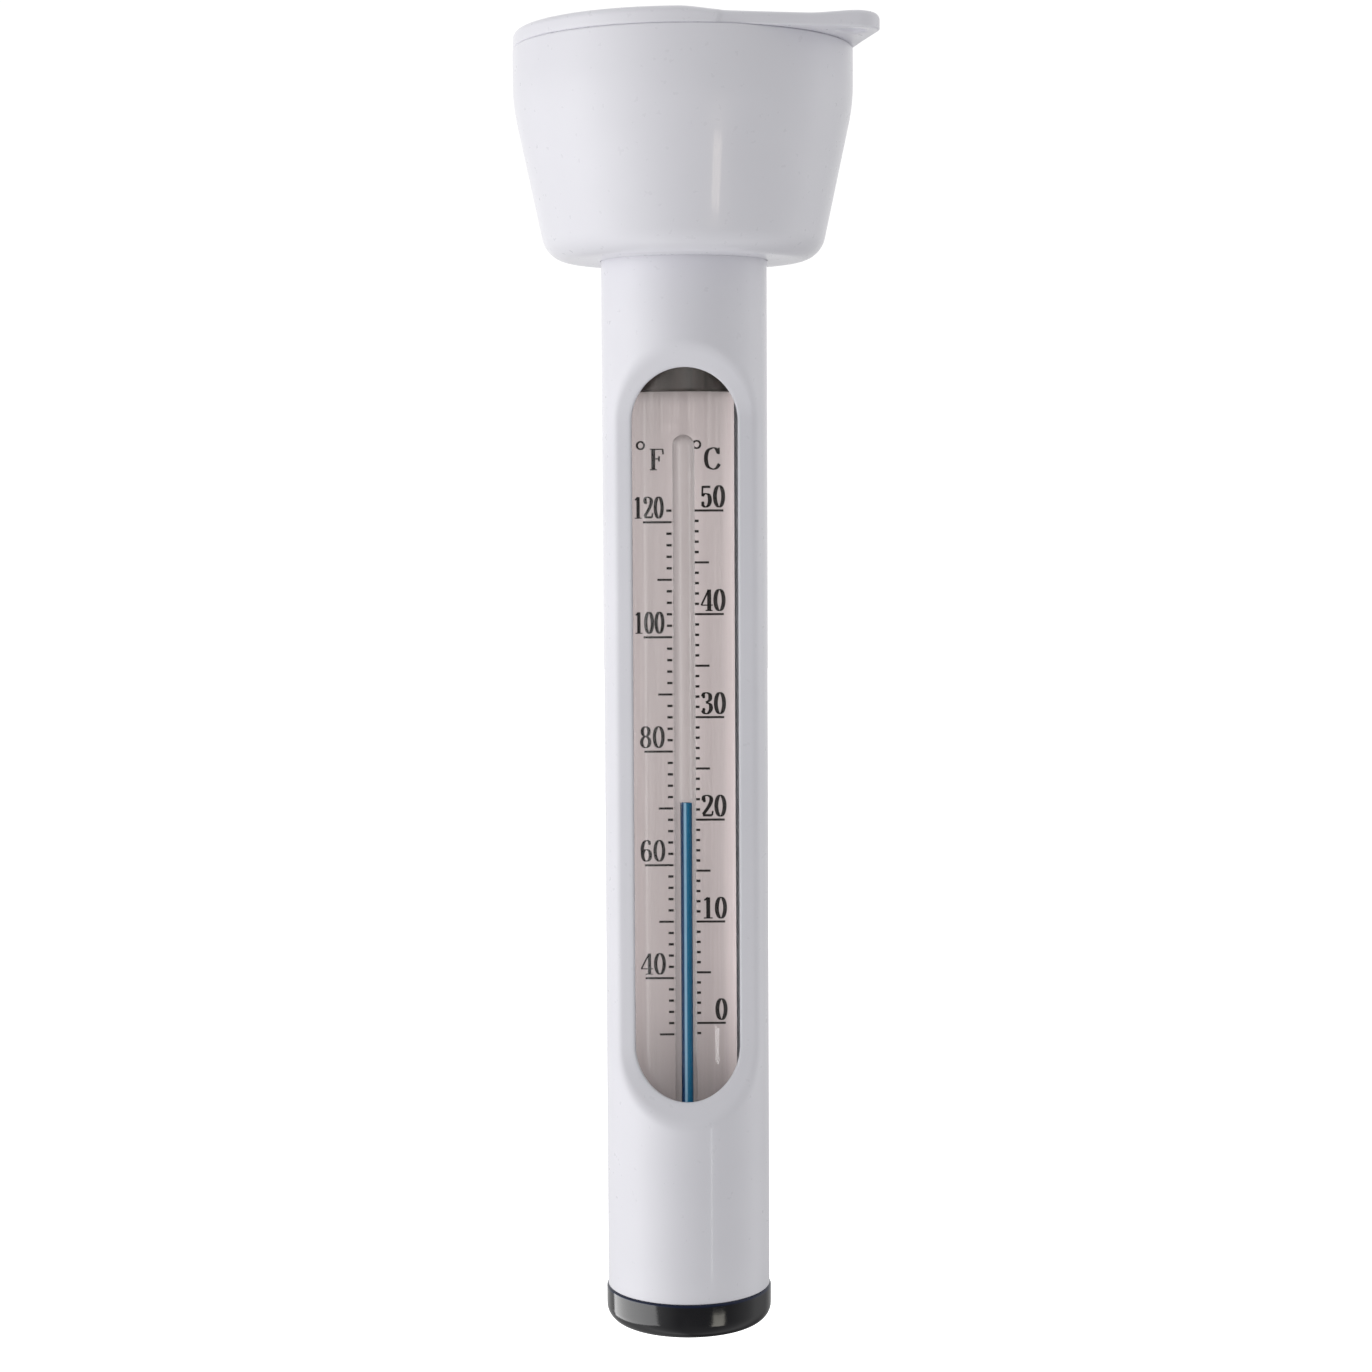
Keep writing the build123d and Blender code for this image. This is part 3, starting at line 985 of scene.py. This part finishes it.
# Pen strokes of each sign, which stands on 0, is 1 tall and has room for GLYPH_WIDTH.
GLYPH_WIDTH = 0.5
GLYPHS = {
    "0": [ellipse(0.25, 0.5, 0.17, 0.475)],
    "1": [
        [(0.25, 0.02), (0.25, 0.98)],
        [(0.07, 0.025), (0.43, 0.025)],
        [(0.09, 0.84), (0.24, 0.97)],
    ],
    "2": [
        curve(
            *[(0.08, 0.74), (0.10, 0.92), (0.24, 0.975), (0.38, 0.88), (0.39, 0.70)],
            *[(0.28, 0.44), (0.06, 0.10)],
        ),
        [(0.05, 0.06), (0.42, 0.06)],
        [(0.43, 0.05), (0.46, 0.26)],
    ],
    "3": [
        curve(
            *[(0.07, 0.80), (0.12, 0.94), (0.24, 0.975), (0.36, 0.88), (0.36, 0.66)],
            *[(0.20, 0.53)],
        ),
        curve(
            *[(0.20, 0.53), (0.37, 0.44), (0.40, 0.22), (0.28, 0.04), (0.14, 0.04)],
            *[(0.06, 0.18)],
        ),
    ],
    "4": [
        [(0.35, 0.02), (0.35, 0.98)],
        [(0.33, 0.96), (0.03, 0.27)],
        [(0.02, 0.27), (0.50, 0.27)],
        [(0.20, 0.025), (0.49, 0.025)],
    ],
    "5": [
        [(0.10, 0.93), (0.42, 0.93)],
        [(0.10, 0.97), (0.09, 0.50)],
        curve(
            *[(0.09, 0.52), (0.20, 0.62), (0.35, 0.56), (0.40, 0.32), (0.34, 0.10)],
            *[(0.20, 0.02), (0.07, 0.15)],
        ),
    ],
    "6": [
        ellipse(0.26, 0.29, 0.155, 0.265),
        curve((0.40, 0.86), (0.30, 0.97), (0.16, 0.90), (0.09, 0.62), (0.10, 0.30)),
    ],
    "8": [ellipse(0.25, 0.76, 0.135, 0.215), ellipse(0.25, 0.27, 0.16, 0.25)],
    "F": [
        [(0.16, 0.02), (0.16, 0.98)],
        [(0.03, 0.975), (0.53, 0.975)],
        [(0.52, 0.98), (0.54, 0.74)],
        [(0.16, 0.53), (0.38, 0.53)],
        [(0.38, 0.65), (0.38, 0.41)],
        [(0.03, 0.025), (0.30, 0.025)],
    ],
    "C": [
        curve(
            *[(0.55, 0.74), (0.46, 0.93), (0.34, 0.975), (0.16, 0.84), (0.10, 0.50)],
            *[(0.16, 0.16), (0.34, 0.025), (0.48, 0.08), (0.58, 0.26)],
        ),
        [(0.56, 0.99), (0.56, 0.70)],
    ],
}

# round ends of strokes, as (x, y, radius)
DOTS = {
    "2": [(0.11, 0.73, 0.075)],
    "3": [(0.11, 0.79, 0.07), (0.11, 0.21, 0.075)],
    "5": [(0.11, 0.20, 0.075)],
    "6": [(0.38, 0.83, 0.06)],
}
# strokes, as (sign, number), whose width doesn't follow from their direction
HEAVY_BARS = {("2", 1), ("5", 0)}
LIGHT_STEMS = {("2", 2), ("4", 1), ("5", 1), ("F", 2), ("F", 4), ("C", 1), ("1", 2)}

# widths of the pen, as shares of a sign's height
THICK, THIN, BAR, STEM = 0.185, 0.055, 0.11, 0.085


def directions(points):
    """The way that a run of points heads at each of them."""
    ends = [points[0], *points, points[-1]]
    return [Vector(b) - Vector(a) for a, b in zip(ends, ends[2:])]


def on_plate(x, z, lift):
    """A point of the print, lift in front of the plate's face."""
    return (x, PLATE_FRONT - lift, z)


def ribbon(shell, points, widths):
    """A flat stroke with thickness: a closed solid on the plate."""
    loops = []
    for point, direction, width in zip(points, directions(points), widths):
        across = Vector((-direction.y, direction.x)).normalized() * width / 2
        left, right = Vector(point) + across, Vector(point) - across
        corners = ((left, INK), (right, INK), (right, INK_ROOT), (left, INK_ROOT))
        loops.append([on_plate(*p, lift) for p, lift in corners])
    shell.strip(loops)
    shell.add(loops[0], [(3, 2, 1, 0)])
    shell.add(loops[-1], [(0, 1, 2, 3)])


def disc(shell, x, z, radius):
    """A printed dot."""
    rims = [[on_plate(*p, lift) for p in circle((x, z), radius, 20)] for lift in (INK, INK_ROOT)]
    for rim, lift in zip(rims, (INK, INK_ROOT)):
        shell.fan(rim, on_plate(x, z, lift))
    shell.strip(rims)


def glyph(shell, sign, left, base, height, width, pen=1.0):
    """One sign with its left foot at (left, base); pen thins or thickens its strokes.

    It is drawn with a broad pen: upright strokes are thick and level ones thin.
    """
    stretch = width / GLYPH_WIDTH
    for number, stroke in enumerate(GLYPHS[sign]):
        points = [(left + x * stretch, base + y * height) for x, y in stroke]
        widths = []
        for direction in directions(points):
            if (sign, number) in HEAVY_BARS:
                share = BAR
            elif (sign, number) in LIGHT_STEMS:
                share = STEM
            else:
                share = THIN + (THICK - THIN) * abs(direction.normalized().y) ** 1.6
            widths.append(share * height * pen)
        ribbon(shell, points, widths)
    for x, y, radius in DOTS.get(sign, ()):
        disc(shell, left + x * stretch, base + y * height, radius * height)


def number(shell, value, right, base, width, gap, pen=1.0):
    """A whole number that ends at right."""
    for place, sign in enumerate(reversed(str(value))):
        left = right - width * (place + 1) - gap * place
        glyph(shell, sign, left, base, NUMERAL_HEIGHT, width, pen)


def degree_ring(shell, x, z):
    """The degree sign: a small ring, heavier at its sides."""
    steps = 28
    widths = [0.22 + 0.08 * abs(cos(2 * pi * i / steps)) for i in range(steps + 1)]
    ribbon(shell, ellipse(x, z, 0.50, 0.50, steps), widths)


def tick(shell, start, end, z, thickness):
    """A level line of the scale."""
    ribbon(shell, [(start, z), (end, z)], [thickness, thickness])


def celsius_height(value):
    return ZERO_HEIGHT + DEGREE * value


def fahrenheit_height(value):
    return celsius_height((value - 32) / 1.8)


def printed_scale():
    """Ticks and numerals of both scales, one printed layer on the plate."""
    shell = Shell()
    for value in range(-1, 51):
        z = celsius_height(value)
        reach = 5.25 if value % 10 == 0 else 3.25 if value % 5 == 0 else 1.85
        tick(shell, 1.05, reach, z, 0.30 if reach > 2 else 0.34)
        if value % 10 == 0:
            number(shell, value, 5.50, z + 0.42, 1.68, 0.08)
    for value in range(30, 123, 2):
        z = fahrenheit_height(value)
        reach = -5.78 if value % 20 == 0 else -3.85 if value % 10 == 0 else -2.58
        tick(shell, reach, -1.85, z, 0.30 if reach < -3 else 0.34)
        if value % 20 == 0:
            width = 1.36 if value >= 100 else 1.74
            number(shell, value, -2.92, z + 0.50, width, 0.06, pen=0.85)
    heading = fahrenheit_height(129.0)
    degree_ring(shell, -6.05, heading + 3.35)
    glyph(shell, "F", -4.88, heading, 2.9, 1.78)
    degree_ring(shell, 1.62, heading + 3.45)
    glyph(shell, "C", 2.50, heading + 0.05, 3.0, 1.92)
    shell.piece("printed_scale", PRINT, "shell", "plate_metal", sharp=20.0)


# ---------------- pieces that keep their CAD shape
def dress_cad_nodes():
    """Hidden pieces whose CAD shape is right get finished materials."""
    finishes = {
        "lid_seal": SEAL,
        "flange_gasket": SEAL,
        "cap_o_ring": SEAL,
        "ballast_weight": STEEL,
        "cushion_pad": FOAM,
        "lower_stopper": STOPPER,
        "stem_clip": STRIP_METAL,
        "spirit_reservoir": SPIRIT,
    }
    for name, material in finishes.items():
        node = frame["nodes"][name]
        if not node.material_slots:
            node.data.materials.append(material)
        for one in node.material_slots:
            one.material = material


# ---------------- camera, light and stage
def camera():
    """The view from just above the middle of the tube, looking slightly down."""
    pitch, roll = radians(4.298), radians(-0.3)
    place = Vector((0.0, -371.15, 115.96))
    ahead = Vector((0.0, cos(pitch), -sin(pitch)))
    right = Vector((1.0, 0.0, 0.0))
    up = right.cross(ahead)
    across = right * cos(roll) + up * sin(roll)
    above = up * cos(roll) - right * sin(roll)
    data = bpy.data.cameras.new("camera")
    data.sensor_width = 36.0
    data.lens = 71.358
    data.clip_start, data.clip_end = 0.01, 20.0
    made = bpy.data.objects.new("camera", data)
    axes = Matrix((across, above, -ahead)).transposed().to_4x4()
    made.matrix_world = Matrix.Translation(place * MM) @ axes
    bpy.context.scene.collection.objects.link(made)
    bpy.context.scene.camera = made


def area_light(name, target, azimuth, elevation, distance, size, radiance, colour):
    """A soft rectangular light round the object, aimed at target, in millimetres.

    azimuth turns from the front (-Y) towards +X, and radiance is its own brightness.
    """
    turn, climb = radians(azimuth), radians(elevation)
    away = Vector((sin(turn) * cos(climb), -cos(turn) * cos(climb), sin(climb)))
    place = Vector(target) + away * distance
    data = bpy.data.lights.new(name, "AREA")
    data.shape = "RECTANGLE"
    data.size, data.size_y = size[0] * MM, size[1] * MM
    data.energy = radiance * pi * size[0] * size[1] * MM**2
    data.color = colour
    made = bpy.data.objects.new(name, data)
    made.rotation_mode = "QUATERNION"
    made.rotation_quaternion = (Vector(target) - place).to_track_quat("-Z", "Y")
    made.location = place * MM
    made.visible_camera = False
    bpy.context.scene.collection.objects.link(made)
    return made


def lit_only(light, names, unblocked):
    """Let a light fall on the named pieces alone, with nothing else in its way if unblocked."""
    receivers = bpy.data.collections.new(light.name + "_receivers")
    for name in names:
        receivers.objects.link(bpy.data.objects[name])
    light.light_linking.receiver_collection = receivers
    if unblocked:
        light.light_linking.blocker_collection = receivers


def lights():
    """A front light for the insert, and cards that each make one piece's reflection."""
    plain, cream, peach = (1.0, 1.0, 1.0), (1.0, 0.97, 0.86), (1.0, 0.88, 0.74)
    middle = (0.0, 0.0, 80.0)
    fill = area_light("scale_fill", middle, 8.0, 4.0, 600.0, (300.0, 320.0), 7.5, plain)
    lit_only(fill, ["scale_sheet", "printed_scale", "spirit_thread", "top_plug"], unblocked=True)
    # piece, name, height aimed at, azimuth, elevation, distance, size, radiance, colour
    cards = [
        ("foot_cap", "cap_card_left", 2.0, -82.0, -16.0, 60.0, (94.0, 34.0), 5.2, plain),
        ("foot_cap", "cap_card_right", 2.0, 38.0, -20.0, 60.0, (16.0, 16.0), 6.5, cream),
        ("windowed_tube", "tube_strip", 23.0, 32.0, -14.0, 250.0, (9.0, 60.0), 6.0, plain),
        ("bowl_shell", "bowl_strip", 156.0, 24.0, -17.0, 250.0, (26.0, 24.0), 8.0, peach),
        ("drawn_stem", "stem_strip", 88.0, -37.0, 0.0, 200.0, (30.0, 80.0), 3.6, plain),
        ("clear_tube_wall", "wall_strip", 80.0, -75.0, 0.0, 200.0, (18.0, 240.0), 2.4, plain),
        ("clear_tube_wall", "wall_glint", 22.0, 62.0, -12.2, 200.0, (30.0, 10.0), 16.0, plain),
    ]
    for piece, name, height, *card in cards:
        light = area_light(name, (0.0, 0.0, height), *card)
        light.visible_diffuse = False
        light.visible_transmission = False
        lit_only(light, [piece], unblocked=piece in ("drawn_stem", "clear_tube_wall"))


# Brightness of the surroundings by compass angle, from behind (-165) over the front (0)
# and on round to behind (165) in steps of 30 degrees, for three heights.
SKY_LOW = (0.43, 0.59, 0.96, 1.66, 1.17, 0.54, 0.51, 0.57, 0.75, 0.90, 0.20, 0.10)
SKY_LEVEL = (1.02, 0.76, 1.13, 2.41, 1.60, 0.46, 0.28, 0.23, 0.60, 1.20, 0.63, 0.86)
SKY_HIGH = (0.98, 0.69, 0.66, 0.86, 0.62, 0.47, 0.52, 0.54, 0.77, 0.86, 0.67, 0.95)
SKY_PEAK = 2.5


def world():
    """White to the camera; for lighting, a soft studio that is brightest on the left."""
    made = bpy.data.worlds.new("studio")
    bpy.context.scene.world = made
    made.use_nodes = True
    w = Tree(made.node_tree)
    x, y, z = w.split(w.node("ShaderNodeTexCoord").outputs["Generated"])
    front = w.node("ShaderNodeMath", operation="MULTIPLY")
    w.link(y, front.inputs[0])
    front.inputs[1].default_value = -1.0
    turn = w.node("ShaderNodeMath", operation="ARCTAN2")
    w.link(x, turn.inputs[0])
    w.link(front.outputs[0], turn.inputs[1])
    compass = w.range(turn.outputs[0], -pi, pi, 0.0, 1.0)

    def round_the_sky(levels):
        behind = (levels[0] + levels[-1]) / 2
        stops = [(0.0, behind / SKY_PEAK)]
        stops += [((15 + 30 * i) / 360, level / SKY_PEAK) for i, level in enumerate(levels)]
        return w.ramp(compass, [*stops, (1.0, behind / SKY_PEAK)])

    level, high, low = (round_the_sky(levels) for levels in (SKY_LEVEL, SKY_HIGH, SKY_LOW))
    above = w.mix(w.range(z, -0.05, 0.5, 0.0, 1.0), level, high)
    sky = w.mix(w.range(z, -0.05, -0.6, 0.0, 1.0), above, low)
    path = w.node("ShaderNodeLightPath").outputs["Is Camera Ray"]
    background = made.node_tree.nodes["Background"]
    w.link(w.mix(path, sky, (1.0, 1.0, 1.0)), background.inputs["Color"])
    w.link(w.range(path, 0.0, 1.0, SKY_PEAK, 1.05), background.inputs["Strength"])


def stage():
    """A pale floor, low enough for the pulled-off cap and seen only from above."""
    size, height = 3.0, -12.5 * MM
    bpy.ops.mesh.primitive_plane_add(size=size, location=(0.0, 0.0, height))
    floor = bpy.context.object
    floor.name = "pale_floor"
    m = Nodes("pale_floor")
    m.colour(m.ramp(m.noise(6.0), [(0.3, 0.93), (0.7, 0.95)]))
    m.set(Roughness=0.9, Emission_Color=(1.0, 1.0, 1.0, 1.0), Emission_Strength=1.0)
    under = m.node("ShaderNodeBsdfTransparent")
    sides = m.node("ShaderNodeMixShader")
    m.link(m.node("ShaderNodeNewGeometry").outputs["Backfacing"], sides.inputs[0])
    m.link(m.shader.outputs[0], sides.inputs[1])
    m.link(under.outputs[0], sides.inputs[2])
    m.link(sides.outputs[0], m.output.inputs["Surface"])
    floor.data.materials.append(m.material)
    floor.visible_diffuse = False
    floor.visible_glossy = False
    floor.visible_transmission = False
    floor.visible_shadow = False


camera()
bpy.context.scene.view_settings.view_transform = "Standard"
world()
stage()
body_tube()
float_bowl()
float_lid()
end_cap()
sight_tube()
upper_stopper()
scale_plate()
glass_stem()
spirit_column()
printed_scale()
dress_cad_nodes()
lights()
